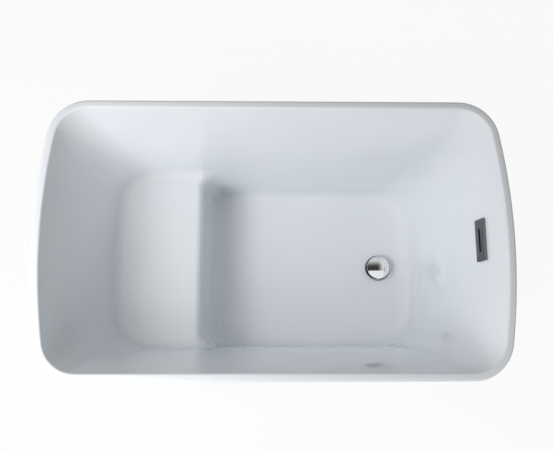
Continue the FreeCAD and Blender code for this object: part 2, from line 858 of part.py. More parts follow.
def hose_tube(diameter):
    """A round bar along the hose's line, with its one bend."""
    start, corner, end, down = hose_line()
    along = (end - corner).normalize()
    arc = rounded_corner(corner, down, along, hose_bend_radius)
    path = Part.Wire([
        Part.LineSegment(start, arc[0]).toShape(),
        Part.Arc(*arc).toShape(),
        Part.LineSegment(arc[2], end).toShape(),
    ])
    section = Part.Wire(Part.makeCircle(diameter / 2, start, down))
    return path.makePipeShell([section], True, False)


def overflow_hose():
    """The hose from the overflow's spigot down to the waste tee's side port."""
    return hose_tube(hose_bore + hose_wall * 2).cut(hose_tube(hose_bore))


def hose_clip(near_start):
    """A band clip round an end of the hose, with its tightening housing."""
    start, corner, end, down = hose_line()
    point, along = (start, down) if near_start else (end, (corner - end).normalize())
    hose = hose_bore + hose_wall * 2
    band = disc(hose + hose_clip_thickness * 2, 0, hose_clip_width)
    housing_top = hose / 2 + hose_clip_thickness + hose_clip_housing_rise
    half = hose_clip_housing_length / 2
    housing = block(-half, half, hose / 2, housing_top, 0, hose_clip_width)
    clip = band.fuse(housing).cut(disc(hose, 0, hose_clip_width)).removeSplitter()
    clip.Placement = Placement(point + along * hose_clip_end_gap, Rotation(Vector(0, 0, 1), along))
    return clip


def waste_tee():
    """The tee under the drain: a socket above, the hose's port at its side, the outlet below."""
    socket_bore = drain_sleeve_diameter + drain_fit_clearance * 2
    socket_diameter = socket_bore + tee_socket_wall * 2
    socket = disc(socket_diameter, chamber_top, tee_seal_base, drain_x)
    chamber = disc(tee_chamber_diameter, chamber_base, chamber_top, drain_x)
    outlet = disc(outlet_diameter, outlet_base, chamber_base, drain_x)
    spigot = hose_bore - hose_fit_clearance * 2
    port_start = Vector(drain_x, overflow_side_shift, port_z)
    port_length = tee_chamber_diameter / 2 + body_wall + tee_port_reach
    port = rod(port_start, Vector(1, 0, 0), port_length, spigot)
    tee = socket.fuse(chamber).fuse(outlet).fuse(port)
    tee = tee.cut(disc(socket_bore, tee_shoulder, tee_seal_base, drain_x))
    tee = tee.cut(disc(drain_bore_diameter, chamber_top - tee_wall, tee_shoulder, drain_x))
    tee = tee.cut(disc(tee_chamber_diameter - tee_wall * 2, chamber_base + tee_wall, chamber_top, drain_x))
    tee = tee.cut(disc(outlet_diameter - tee_wall * 2, outlet_base, chamber_top, drain_x))
    return tee.cut(rod(port_start, Vector(1, 0, 0), port_length, spigot - hose_spigot_wall * 2))


def overflow_cover():
    """The slim cover plate over the overflow, a tray with a slot in its face."""
    tray = overflow_plate(cover_face, land_face, cover_length, cover_height, cover_corner_radius)
    inner_length = cover_length - cover_wall * 2
    inner_height = cover_height - cover_wall * 2
    hollow = overflow_plate(cover_face + cover_wall, land_face, inner_length, inner_height,
                            cover_corner_radius - cover_wall)
    slot = overflow_plate(cover_face, land_face, cover_slot_length, cover_slot_height, cover_slot_height / 3)
    return tray.cut(hollow).cut(slot)


def overflow_frame():
    """The frame that the cover clips over, screwed through the wall."""
    length = cover_length - (cover_wall + cover_fit_clearance) * 2
    height = cover_height - (cover_wall + cover_fit_clearance) * 2
    frame = overflow_plate(frame_face, land_face, length, height, cover_corner_radius - cover_wall)
    heads = [rod(Vector(frame_face, y, 0), Vector(1, 0, 0), overflow_screw_head_depth,
                 overflow_screw_head_diameter + screw_clearance * 2) for y in overflow_screw_places()]
    return frame.cut(overflow_window()).cut(overflow_screw_holes()).cut(on_overflow(Part.makeCompound(heads)))


def overflow_screws():
    """The two screws that draw the overflow's frame and body together on the wall."""
    screws = []
    for y in overflow_screw_places():
        start = Vector(frame_face, y, 0)
        inward = Vector(1, 0, 0)
        head = rod(start, inward, overflow_screw_head_depth, overflow_screw_head_diameter)
        shank = rod(start, inward, flange_back - frame_face, overflow_screw_diameter)
        screws.append(on_overflow(head.fuse(shank).removeSplitter()))
    return Part.makeCompound(screws)


def overflow_gasket():
    """The gasket between the back of the wall and the overflow's body."""
    gasket = overflow_plate(pad_face, gasket_back, gasket_length, gasket_height, window_corner_radius)
    return gasket.cut(overflow_window()).cut(overflow_screw_holes())


def overflow_body():
    """The flanged cup behind the wall, with the hose's spigot under it."""
    flange = overflow_plate(gasket_back, flange_back, gasket_length, gasket_height, window_corner_radius)
    cup = overflow_plate(flange_back, cup_back, cup_length, cup_height, window_corner_radius)
    start, _, _, down = hose_line()
    root = spigot_root() - down * (cup_height / 2)
    spigot_diameter = hose_bore - hose_fit_clearance * 2
    length = (start - root).Length + hose_spigot_length
    spigot = rod(root, down, length, spigot_diameter)
    hollow = overflow_plate(gasket_back, cup_back - body_wall, cup_length - body_wall * 2,
                            cup_height - body_wall * 2, window_corner_radius - body_wall)
    bore = rod(root, down, length, spigot_diameter - hose_spigot_wall * 2)
    body = flange.fuse(cup).fuse(spigot).cut(hollow).cut(bore)
    holes = [rod(Vector(gasket_back, y, 0), Vector(1, 0, 0), body_flange_depth, overflow_screw_diameter)
             for y in overflow_screw_places()]
    return body.cut(on_overflow(Part.makeCompound(holes)))


def all_pieces():
    """Every piece of the bath, by name."""
    pieces = {
        "inner_basin": inner_basin(),
        "basin_laminate": basin_laminate(),
        "outer_skirt": outer_skirt(),
        "skirt_laminate": skirt_laminate(),
        "rim_bond": rim_bond(),
        "floor_board": floor_board(),
        "seat_board": seat_board(),
        "seat_posts": seat_posts(),
        "frame_rail_near": frame_rail(-rail_y),
        "frame_rail_far": frame_rail(rail_y),
        "skirt_batten_near": skirt_batten(-1),
        "skirt_batten_far": skirt_batten(1),
        "frame_screws": frame_screws(),
        "foot_brackets": foot_brackets(),
        "foot_lock_nuts": foot_lock_nuts(),
        "drain_flange": drain_flange(),
        "drain_top_gasket": drain_ring(top_gasket_diameter, floor_z, flange_base),
        "drain_bottom_gasket": drain_ring(bottom_gasket_diameter, bottom_gasket_base, shell_base),
        "drain_slip_washer": drain_ring(slip_washer_diameter, washer_base, bottom_gasket_base),
        "drain_back_nut": drain_back_nut(),
        "drain_cap": drain_cap(),
        "drain_cap_seal": ring(cap_seal_diameter, cap_seal_bore, seal_base, cap_base, drain_x),
        "drain_stem": drain_stem(),
        "drain_stem_clip": drain_stem_clip(),
        "drain_spring": drain_spring(),
        "tee_seal": drain_ring(drain_sleeve_diameter + tee_socket_wall * 2, tee_seal_base, back_nut_base),
        "waste_tee": waste_tee(),
        "overflow_cover": overflow_cover(),
        "overflow_frame": overflow_frame(),
        "overflow_screws": overflow_screws(),
        "overflow_gasket": overflow_gasket(),
        "overflow_body": overflow_body(),
        "overflow_hose": overflow_hose(),
        "hose_clip_upper": hose_clip(True),
        "hose_clip_lower": hose_clip(False),
    }
    for name, x in zip(crossbar_names, crossbar_places()):
        pieces["frame_crossbar_" + name] = frame_crossbar(x)
    for name, (x, y) in foot_places().items():
        pieces["foot_stud_" + name] = foot_stud(x, y)
        pieces["foot_pad_" + name] = foot_pad(x, y)
    return pieces


os.makedirs("parts", exist_ok=True)
for node, shape in all_pieces().items():
    print(node, "solids", len(shape.Solids), "valid", shape.isValid(), "volume", round(shape.Volume))
    shape.exportStep("parts/" + node + ".step")
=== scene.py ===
import json
import math

import bmesh
import bpy
import numpy as np
from mathutils import Matrix, Vector

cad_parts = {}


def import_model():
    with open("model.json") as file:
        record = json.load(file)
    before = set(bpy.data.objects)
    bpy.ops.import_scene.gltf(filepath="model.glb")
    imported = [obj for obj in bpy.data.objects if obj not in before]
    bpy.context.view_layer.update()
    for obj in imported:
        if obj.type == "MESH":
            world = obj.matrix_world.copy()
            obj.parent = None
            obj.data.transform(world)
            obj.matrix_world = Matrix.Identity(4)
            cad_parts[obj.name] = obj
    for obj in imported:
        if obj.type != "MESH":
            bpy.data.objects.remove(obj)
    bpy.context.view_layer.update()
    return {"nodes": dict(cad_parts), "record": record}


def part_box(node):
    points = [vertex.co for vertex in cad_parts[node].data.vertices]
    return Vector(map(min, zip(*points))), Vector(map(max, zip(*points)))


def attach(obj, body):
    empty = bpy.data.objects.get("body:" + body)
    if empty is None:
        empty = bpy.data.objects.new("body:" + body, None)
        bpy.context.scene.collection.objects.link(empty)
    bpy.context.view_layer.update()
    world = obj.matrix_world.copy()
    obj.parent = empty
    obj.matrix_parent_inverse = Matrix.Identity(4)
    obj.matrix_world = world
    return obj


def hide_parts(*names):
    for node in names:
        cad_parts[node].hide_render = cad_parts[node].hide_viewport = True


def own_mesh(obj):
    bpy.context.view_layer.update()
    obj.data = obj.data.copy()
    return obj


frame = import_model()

# A white acrylic soaking bath with a moulded seat, seen from above. Metres, in the frame of the solids.

# Sizes of the basin that its box does not give
RIM_WIDTH = 0.020
RIM_EDGE = 0.006
LIP_DEPTH = 0.014
SHEET = 0.005
CORNER = 0.105
FLOOR_CORNER = 0.115
END_BOW = 1.640
SEAT_DEPTH = 0.320
SEAT_SETBACK = 0.205
SEAT_LEAN = math.radians(9.0)
SEAT_NOSE = 0.022
SEAT_FOOT = 0.030
SEAT_FRONT_CORNER = 0.048
SEAT_BACK_FOOT = 0.025
WALL_FOOT = 0.028
DRAIN_WALL_FOOT = 0.085
DRAIN_WALL_LEAN = math.radians(15.5)
SEAT_WALL_LEAN = math.radians(22.6)
SIDE_WALL_DRAW = 0.092
DRAIN_HOLE = 0.052
CUT_DEPTH = SHEET * 3

# How finely the basin is drawn
SIDE_STEP = 0.014
SEAT_STEP = 0.007
NOSE_STEP = 0.0026
FRONT_STEP = 0.003
END_POINTS = 84
CORNER_POINTS = 26
ARC_POINTS = 7
PATH_SAMPLES = 260
PATH_EASE = 1.5
PATH_POINTS = 92
POINT_LENGTH = 0.010
POINT_TURN = math.radians(7.0)

# How its surface is found, and how pieces are finished
SLOPE_STEP = 0.0005
HALVINGS = 34
COSINE_LIMIT = 0.9
TINY = 1e-9
WELD = 1e-6
CREASE = math.radians(40)

# Skirt
SKIRT_LEAN = math.radians(5.2)
SKIRT_BASE_CORNER = 0.090
SKIRT_SHEET = 0.004
SKIRT_EDGE = 0.0012
SKIRT_EDGE_STEPS = 3
SKIRT_ROWS = 12
SKIRT_SIDE_POINTS = 40

# Pop-up cap
LATHE_STEPS = 128
CAP_BOSS = 0.016
CAP_BOSS_DEPTH = 0.006
CAP_EDGE = 0.0026
CAP_ROUND = 0.001
CAP_DOME_POINTS = 24
CAP_ROUND_POINTS = 8
CAP_UNDER_POINTS = 6

# Spring under the cap
SPRING_WIRE = 0.0015
SPRING_TURNS = 6
SPRING_STEPS = 24
SPRING_SIDES = 10

# Overflow cover and the land it sits on, with depths from the wall's face, behind it where positive
OVERFLOW_DROP = 0.109
COVER_LENGTH = 0.112
COVER_HEIGHT = 0.042
COVER_CORNER = 0.003
COVER_CORNER_POINTS = 7
COVER_WALL = 0.0015
COVER_ROUND = 0.0004
COVER_CHAMFER = 0.004
COVER_CHAMFER_DROP = 0.0012
COVER_FACE = -0.010
COVER_BACK = -0.0021
COVER_SLOT_LENGTH = 0.065
COVER_SLOT_HEIGHT = 0.008
LAND_FACE = -0.002
LAND_BACK = SHEET / 2
LAND_MARGIN = 0.004
WINDOW_LENGTH = 0.062
WINDOW_HEIGHT = 0.016
WINDOW_CORNER = 0.004

# Finishes: tones from dark to light, span of roughness, grains to a metre, strength and depth of relief
NOISE_LOW = 0.3
NOISE_HIGH = 0.7
NOISE_DETAIL = 4.0
NO_STRETCH = (1, 1, 1)
GRAIN_STRENGTH = 0.1
GRAIN_DEPTH = 0.0002
ACRYLIC_TONES = ((0.85, 0.885, 0.92), (0.875, 0.91, 0.94))
ACRYLIC_ROUGH = (0.04, 0.07)
ACRYLIC_CLOUD = {"scale": 3.0, "detail": 2.0}
ACRYLIC_GRAIN = {"scale": 900.0, "detail": 2.0}
ACRYLIC_WAVE = {"scale": 9.0, "detail": 1.0}
ACRYLIC_WAVE_DEPTH = {"strength": 0.25, "depth": 0.002}
ACRYLIC_GLOSS = {"Coat Weight": 0.5, "Coat Roughness": 0.015, "IOR": 1.49}
CHROME_TONES = ((0.74, 0.75, 0.76), (0.80, 0.81, 0.82))
CHROME_CLOUD = {"scale": 60.0}
CHROME_WAVE = {"scale": 45.0}
CHROME_WAVE_DEPTH = {"strength": 0.03, "depth": 0.001}
GRAINED = {
    "gunmetal": {
        "tones": ((0.15, 0.157, 0.165), (0.21, 0.217, 0.225)), "rough": (0.28, 0.4),
        "scale": 300, "stretch": (3, 0.05, 3), "strength": 0.15, "metallic": 1.0,
    },
    "laminate": {
        "tones": ((0.58, 0.55, 0.44), (0.78, 0.75, 0.65)), "rough": (0.5, 0.75),
        "scale": 120, "strength": 0.6, "depth": 0.001,
    },
    "bond": {
        "tones": ((0.66, 0.66, 0.63), (0.78, 0.78, 0.75)), "rough": (0.5, 0.7),
        "scale": 90, "strength": 0.4, "depth": 0.0008,
    },
    "board": {
        "tones": ((0.40, 0.27, 0.15), (0.66, 0.50, 0.32)), "rough": (0.55, 0.8),
        "scale": 40, "stretch": (0.15, 3, 3), "strength": 0.3,
    },
    "frame_steel": {
        "tones": ((0.25, 0.26, 0.275), (0.31, 0.32, 0.335)), "rough": (0.35, 0.5),
        "scale": 400, "strength": 0.2,
    },
    "zinc": {
        "tones": ((0.52, 0.53, 0.54), (0.70, 0.71, 0.72)), "rough": (0.25, 0.42),
        "scale": 220, "metallic": 1.0,
    },
    "foot_rubber": {
        "tones": ((0.02, 0.02, 0.022), (0.04, 0.04, 0.043)), "rough": (0.7, 0.9),
        "scale": 350, "strength": 0.4,
    },
    "seal": {
        "tones": ((0.018, 0.018, 0.02), (0.032, 0.032, 0.035)), "rough": (0.55, 0.75),
        "scale": 300, "strength": 0.2,
    },
    "brass": {
        "tones": ((0.60, 0.44, 0.20), (0.74, 0.58, 0.31)), "rough": (0.2, 0.35),
        "scale": 180, "metallic": 1.0,
    },
    "spring_steel": {
        "tones": ((0.45, 0.46, 0.47), (0.6, 0.61, 0.62)), "rough": (0.2, 0.35),
        "scale": 300, "metallic": 1.0,
    },
    "waste_plastic": {
        "tones": ((0.018, 0.018, 0.02), (0.03, 0.03, 0.033)), "rough": (0.4, 0.55),
        "scale": 500, "strength": 0.2,
    },
    "hose": {
        "tones": ((0.42, 0.43, 0.44), (0.52, 0.53, 0.54)), "rough": (0.4, 0.55),
        "scale": 150, "strength": 0.2,
    },
    "screw_steel": {
        "tones": ((0.5, 0.5, 0.51), (0.64, 0.64, 0.65)), "rough": (0.25, 0.4),
        "scale": 250, "metallic": 1.0,
    },
}

# Camera, with its place from the middle of the rim's plane
IMAGE_WIDTH = 553
FOCAL_PIXELS = 750.0
SENSOR_WIDTH = 36.0
CAMERA_PLACE = Vector((-0.0402, -0.3799, 1.8150))
CAMERA_TILT = math.radians(12.59)
CAMERA_SWING = math.radians(-1.348)
CAMERA_ROLL = math.radians(0.092)

# Floor and light, with the place and watts of each lamp
FLOOR_REACH = 60.0
FLOOR_GREY = 0.82
FLOOR_WHITE_SHARE = 0.93
WORLD_FILL = 0.15
LAMP_SIZE = 0.7
LAMP_AIM = Vector((0, 0, 0.4))
LAMPS = {
    "seat_end": ((-1.73, 0, 1.9), 10.5),
    "seat_near": ((-1.23, -1.23, 1.9), 13.5),
    "over_seat": ((-1.1, -0.5, 1.7), 8.0),
    "drain_near": ((1.48, -1.48, 1.23), 7.0),
    "near_low": ((-0.7, -1.1, 0.95), 3.0),
}

# Dark panel over the bath that paints a dark reflection into mirror finishes: the corners of its plan, and
# how far in from them it fades
PANEL_HEIGHT = 1.65
PANEL_LOW = Vector((-0.75, -0.16))
PANEL_HIGH = Vector((1.25, 1.35))
PANEL_FADE_LOW = Vector((0.2, 0.14))
PANEL_FADE_HIGH = Vector((0.8, 1.1))
# Grey of the painted dark reflection, which shows only in mirror finishes
PAINTED_REFLECTION_GREY = 0.05

basin_low, basin_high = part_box("inner_basin")
drain_low, drain_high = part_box("drain_flange")
rim_z = basin_high.z
floor_z = basin_low.z + SHEET
bath_depth = rim_z - floor_z
seat_z = rim_z - SEAT_DEPTH
inner_half_length = basin_high.x - RIM_WIDTH
inner_half_width = basin_high.y - RIM_WIDTH
drain_x = (drain_low.x + drain_high.x) / 2
# The middle of the seat's length
seat_x = -(SEAT_SETBACK + inner_half_length - SEAT_DEPTH * math.tan(SEAT_WALL_LEAN)) / 2


def bath_sizes(depth):
    """Seat end, drain end, half width and corner radius of the bath's plan at a depth under the rim."""
    corner = CORNER - RIM_WIDTH
    return (
        inner_half_length - depth * math.tan(SEAT_WALL_LEAN),
        inner_half_length - depth * math.tan(DRAIN_WALL_LEAN),
        inner_half_width - SIDE_WALL_DRAW + SIDE_WALL_DRAW * (1 - depth / bath_depth) ** 2,
        corner + (FLOOR_CORNER - corner) * depth / bath_depth,
    )


def inside_distance(x, y, depth):
    """Distance in plan to the wall at a depth, the X of its outward normal, and which end it belongs to.

    The last runs from -1 at the seat's end over 0 along the sides to 1 at the drain's end.
    """
    seat_end, drain_end, half_width, corner = bath_sizes(depth)
    bow = END_BOW - RIM_WIDTH
    side = np.where(x > 0, 1.0, -1.0)
    end = np.where(x > 0, drain_end, seat_end)
    across = np.abs(y)
    along = x * side - (end - bow)
    run = half_width - corner
    reach = np.sqrt((bow - corner) ** 2 - run ** 2)
    corner_along = along - reach
    corner_across = across - run
    turn = np.arctan2(run, reach)
    angle = np.arctan2(corner_across, corner_along)
    from_end = bow - np.hypot(along, across)
    from_side = half_width - across
    from_corner = corner - np.hypot(corner_along, corner_across)
    in_corner = (angle > turn) & (angle < math.pi / 2)
    at_end = from_end < from_side
    distance = np.where(in_corner, from_corner, np.minimum(from_end, from_side))
    end_angle = np.arctan2(across, along)
    direction = np.where(in_corner, angle, np.where(at_end, end_angle, math.pi / 2))
    corner_share = (math.pi / 2 - angle) / (math.pi / 2 - turn)
    end_share = np.where(in_corner, corner_share, np.where(at_end, 1.0, 0.0))
    return distance, np.cos(direction) * side, end_share * side


def bottom_profile():
    """The straight runs and arcs of the seat, its front and the floor, as drawn in the XZ plane."""
    down = Vector((math.sin(SEAT_LEAN), -math.cos(SEAT_LEAN)))
    run = math.tan((math.pi / 2 - SEAT_LEAN) / 2)
    nose = Vector((-SEAT_SETBACK, seat_z))
    foot = nose + down * ((seat_z - floor_z) / math.cos(SEAT_LEAN))
    nose_start = nose - Vector((SEAT_NOSE * run, 0))
    foot_end = foot + Vector((SEAT_FOOT * run, 0))
    nose_centre = nose_start - Vector((0, SEAT_NOSE))
    foot_centre = foot_end + Vector((0, SEAT_FOOT))
    face_start = nose + down * SEAT_NOSE * run
    face_end = foot - down * SEAT_FOOT * run
    return nose_start, nose_centre, face_start, face_end, foot_centre, foot_end


def bottom_distance(x, z):
    """Height over the bottom, square to it, and the bottom's normal at the nearest point."""
    nose_start, nose_centre, face_start, face_end, foot_centre, foot_end = bottom_profile()
    face = (face_end - face_start).normalized()
    face_normal = Vector((-face.y, face.x))
    zeros = np.zeros_like(x)
    # Of each stretch: the distance to it, the signed height over it, and its normal
    found = []
    for beyond, level in ((x - nose_start.x, seat_z), (foot_end.x - x, floor_z)):
        height = z - level
        found.append((np.hypot(np.maximum(beyond, 0), height), height, zeros, zeros + 1))
    place = (x - face_start.x) * face.x + (z - face_start.y) * face.y
    beyond = place - np.clip(place, 0, (face_end - face_start).length)
    height = (x - face_start.x) * face_normal.x + (z - face_start.y) * face_normal.y
    found.append((np.hypot(beyond, height), height, zeros + face_normal.x, zeros + face_normal.y))
    for centre, radius, hollow in ((nose_centre, SEAT_NOSE, -1), (foot_centre, SEAT_FOOT, 1)):
        away = np.maximum(np.hypot(x - centre.x, z - centre.y), TINY)
        normal_x = -hollow * (x - centre.x) / away
        normal_z = -hollow * (z - centre.y) / away
        in_arc = (normal_x > 0) & (normal_z > 0) & (normal_x < face_normal.x)
        height = hollow * (radius - away)
        found.append((np.where(in_arc, np.abs(height), np.inf), height, normal_x, normal_z))
    nearest = np.argmin([f[0] for f in found], axis=0)
    return [np.choose(nearest, [f[i] for f in found]) for i in (1, 2, 3)]


def over_surface(x, y, z):
    """How far a point is inside the bath's hollow: walls and bottom, with the foot of the walls rounded."""
    depth = rim_z - z
    plan, outward, end_share = inside_distance(x, y, depth)
    slope = (inside_distance(x, y, depth - SLOPE_STEP)[0] - plan) / SLOPE_STEP
    length = np.sqrt(1 + slope ** 2)
    height, normal_x, normal_z = bottom_distance(x, z)
    cosine = (-outward * normal_x + slope * normal_z) / length
    cosine = np.clip(cosine, -COSINE_LIMIT, COSINE_LIMIT)
    radius = np.interp(end_share, (-1, 0, 1), (SEAT_BACK_FOOT, WALL_FOOT, DRAIN_WALL_FOOT))
    radius = radius + (SEAT_FRONT_CORNER - WALL_FOOT) * normal_x
    from_wall = plan / length - radius
    from_bottom = height - radius
    # The round's centre line lies one radius from both, and they meet at the angle of this cosine
    squares = from_wall ** 2 + from_bottom ** 2 - 2 * cosine * from_wall * from_bottom
    rounded = radius - np.sqrt(squares / (1 - cosine ** 2))
    in_round = (from_wall < cosine * from_bottom) & (from_bottom < cosine * from_wall)
    return np.where(in_round, rounded, np.minimum(from_wall, from_bottom) + radius)


def surface_height(x, y):
    """Height of the inside of the bath over points of its plan."""
    low = np.full_like(x, floor_z - SHEET)
    high = np.full_like(x, rim_z)
    for _ in range(HALVINGS):
        middle = (low + high) / 2
        inside = over_surface(x, y, middle) > 0
        high = np.where(inside, middle, high)
        low = np.where(inside, low, middle)
    return (low + high) / 2


def outline(sizes, bow, places_along):
    """Points and outward normals round a rounded rectangle with bowed ends and straight sides."""
    seat_end, drain_end, half_width, corner = sizes
    run = half_width - corner
    reach = math.sqrt((bow - corner) ** 2 - run ** 2)
    turn = math.atan2(run, reach)
    quarter = math.pi / 2
    points = []

    def follow(side, centre, radius, start, stop, count):
        """Adds an arc without its last point, turned half round where the side is -1."""
        for angle in start + (stop - start) * np.arange(count) / count:
            normal = Vector((math.cos(angle), math.sin(angle))) * side
            points.append((Vector(centre) * side + normal * radius, normal))

    for side, end, far_end in ((1, drain_end, seat_end), (-1, seat_end, drain_end)):
        corner_x = end - bow + reach
        far_x = bow - reach - far_end
        follow(side, (end - bow, 0), bow, -turn, turn, END_POINTS)
        follow(side, (corner_x, run), corner, turn, quarter, CORNER_POINTS)
        places = sorted(places_along(*sorted((corner_x * side, far_x * side))), reverse=side > 0)
        points += [(Vector((x, half_width * side)), Vector((0, side))) for x in places[:-1]]
        follow(side, (far_x, run), corner, quarter, math.pi - turn, CORNER_POINTS)
    return np.array([p for p, _ in points]), np.array([n for _, n in points])


def spread(start, stop, step):
    """Evenly spaced places from a start up to, but not including, a stop."""
    count = max(1, round(abs(stop - start) / step))
    return [start + (stop - start) * i / count for i in range(count)]


def side_places(first, last):
    """Places along the basin's straight sides, close together at the seat's front."""
    nose_start, _, face_start, face_end, _, foot_end = bottom_profile()
    stops = (
        (seat_x, SIDE_STEP),
        (nose_start.x, SEAT_STEP),
        (face_start.x, NOSE_STEP),
        (face_end.x, FRONT_STEP),
        (foot_end.x, FRONT_STEP),
        (drain_x, SIDE_STEP),
        (last, SIDE_STEP),
    )
    places = []
    start = first
    for stop, step in stops:
        places += spread(start, stop, step)
        start = stop
    return places + [last]


def new_object(name, vertices, faces):
    """A mesh piece in the scene, with points in one place welded and its faces turned outwards."""
    mesh = bpy.data.meshes.new(name)
    mesh.from_pydata([tuple(v) for v in vertices], [], faces)
    builder = bmesh.new()
    builder.from_mesh(mesh)
    bmesh.ops.remove_doubles(builder, verts=builder.verts, dist=WELD)
    bmesh.ops.recalc_face_normals(builder, faces=builder.faces)
    builder.to_mesh(mesh)
    builder.free()
    piece = bpy.data.objects.new(name, mesh)
    bpy.context.scene.collection.objects.link(piece)
    return piece


def smooth(piece):
    """Smooth shading, with edges sharper than the crease angle left crisp."""
    piece.data.shade_smooth()
    piece.data.set_sharp_from_angle(angle=CREASE)


def apply_modifiers(piece):
    """Turns a piece's modifiers into its own mesh."""
    bpy.context.view_layer.update()
    made = bpy.data.meshes.new_from_object(piece.evaluated_get(bpy.context.evaluated_depsgraph_get()))
    piece.modifiers.clear()
    piece.data = made


def rings_to_faces(rows, columns, closed_rows=False):
    """Faces between the rows of a grid whose columns run all the way round."""
    faces = []
    for row in range(rows if closed_rows else rows - 1):
        above = (row + 1) % rows
        for column in range(columns):
            beside = (column + 1) % columns
            faces.append((row * columns + column, row * columns + beside,
                          above * columns + beside, above * columns + column))
    return faces


def rim_rows(points, normals):
    """Rows of points over the rolled rim, from the lip's foot to the top of the inner wall."""
    x, y = points.T
    slope = (inside_distance(x, y, -SLOPE_STEP)[0] - inside_distance(x, y, 0.0)[0]) / SLOPE_STEP
    lean = np.arctan(slope)
    zeros = np.zeros_like(lean)
    quarter = math.pi / 2
    inner = RIM_EDGE * np.tan((quarter - lean) / 2)
    arc_z = rim_z - RIM_EDGE
    profile = [(zeros + RIM_WIDTH, zeros + rim_z - LIP_DEPTH)]
    for angle in np.linspace(0, quarter, ARC_POINTS):
        out = RIM_WIDTH - RIM_EDGE + RIM_EDGE * math.cos(angle)
        profile.append((zeros + out, zeros + arc_z + RIM_EDGE * math.sin(angle)))
    for share in np.linspace(0, 1, ARC_POINTS):
        angle = quarter + (quarter - lean) * share
        profile.append((inner + RIM_EDGE * np.cos(angle), arc_z + RIM_EDGE * np.sin(angle)))
    return [np.column_stack([points + normals * out[:, None], z]) for out, z in profile]


def wall_rows(start):
    """Rows of points from the top of the wall down and across the bottom to its middle line."""
    end_x = np.clip(start[:, 0], seat_x, drain_x)
    shares = np.linspace(0, 1, PATH_SAMPLES) ** PATH_EASE
    x = start[:, 0, None] + (end_x - start[:, 0])[:, None] * shares
    y = start[:, 1, None] * (1 - shares)
    z = surface_height(x, y)
    paths = np.stack([x, y, z], axis=2)
    steps = np.diff(paths, axis=1)
    lengths = np.linalg.norm(steps, axis=2)
    tilt = np.arctan2(steps[:, :, 2], np.hypot(steps[:, :, 0], steps[:, :, 1]))
    turns = np.abs(np.diff(tilt, axis=1, prepend=tilt[:, :1]))
    measure = np.cumsum(lengths / POINT_LENGTH + turns / POINT_TURN, axis=1)
    measure = np.concatenate([np.zeros((len(start), 1)), measure], axis=1)
    rows = np.empty((PATH_POINTS, len(start), 3))
    for column, path in enumerate(paths):
        wanted = np.linspace(0, measure[column, -1], PATH_POINTS)
        for axis in range(3):
            rows[:, column, axis] = np.interp(wanted, measure[column], path[:, axis])
    return list(rows[1:])


def basin():
    """The basin's moulded face: rolled rim, walls, seat and floor in one skin."""
    points, normals = outline(bath_sizes(0.0), END_BOW - RIM_WIDTH, side_places)
    rows = rim_rows(points, normals)
    rows += wall_rows(rows[-1])
    return new_object("basin", np.concatenate(rows), rings_to_faces(len(rows), len(points)))


def finish_basin(piece):
    """Thickens the skin to its sheet, adds the overflow's land, and opens its window and the drain hole."""
    sheet = piece.modifiers.new("sheet", "SOLIDIFY")
    sheet.thickness = SHEET
    sheet.offset = -1
    sheet.use_even_offset = True
    apply_modifiers(piece)
    land = (COVER_LENGTH / 2 + LAND_MARGIN, COVER_HEIGHT / 2 + LAND_MARGIN)
    window = (WINDOW_LENGTH / 2, WINDOW_HEIGHT / 2)
    on_wall = overflow_place()
    combine(piece, prism("land", land, COVER_CORNER, LAND_FACE, LAND_BACK, on_wall), "UNION")
    combine(piece, prism("window", window, WINDOW_CORNER, COVER_FACE, CUT_DEPTH, on_wall), "DIFFERENCE")
    low = floor_z - CUT_DEPTH
    high = drain_high.z
    hole = [(0, low), (DRAIN_HOLE / 2, low), (DRAIN_HOLE / 2, high), (0, high)]
    combine(piece, lathe("drain_hole", hole, Vector((drain_x, 0, 0))), "DIFFERENCE")
    smooth(piece)
    return piece


def prism(name, half_sizes, corner, front, back, place):
    """A rounded bar that faces along X, between two depths, moved to its place."""
    loops = [rounded_rectangle(*half_sizes, corner, depth) for depth in (front, back)]
    count = len(loops[0])
    faces = rings_to_faces(2, count) + [tuple(range(count)), tuple(range(count, count * 2))]
    bar = new_object(name, np.concatenate(loops), faces)
    bar.data.transform(place)
    return bar


def combine(piece, tool, operation):
    """Joins a tool's shape to a piece, or cuts it out, and takes the tool away."""
    change = piece.modifiers.new(tool.name, "BOOLEAN")
    change.object = tool
    change.operation = operation
    change.solver = "EXACT"
    apply_modifiers(piece)
    bpy.data.objects.remove(tool)


def skirt():
    """The bath's outer skirt: a leaning shell from just over the floor to the rim's lip."""
    low, high = (corner.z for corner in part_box("outer_skirt"))

    def row(height, inset):
        """The skirt's outline at a height, or a line inside it."""
        drawn_in = (high - height) * math.tan(SKIRT_LEAN) + inset
        corner = CORNER + (SKIRT_BASE_CORNER - CORNER) * (high - height) / (high - low) - inset
        half_length = basin_high.x - drawn_in
        sizes = (half_length, half_length, basin_high.y - drawn_in, corner)
        points, _ = outline(sizes, END_BOW - drawn_in, even_places)
        return np.column_stack([points, np.full(len(points), height)])

    heights = np.linspace(high, low, SKIRT_ROWS)
    rows = [row(h, 0.0) for h in heights] + [row(h, SKIRT_SHEET) for h in heights[::-1]]
    faces = rings_to_faces(len(rows), len(rows[0]), closed_rows=True)
    piece = new_object("skirt", np.concatenate(rows), faces)
    edge = piece.modifiers.new("edge", "BEVEL")
    edge.width = SKIRT_EDGE
    edge.segments = SKIRT_EDGE_STEPS
    edge.limit_method = "ANGLE"
    edge.angle_limit = CREASE
    apply_modifiers(piece)
    smooth(piece)
    return piece


def even_places(first, last):
    """Evenly spaced places along the skirt's straight sides."""
    return list(np.linspace(first, last, SKIRT_SIDE_POINTS))


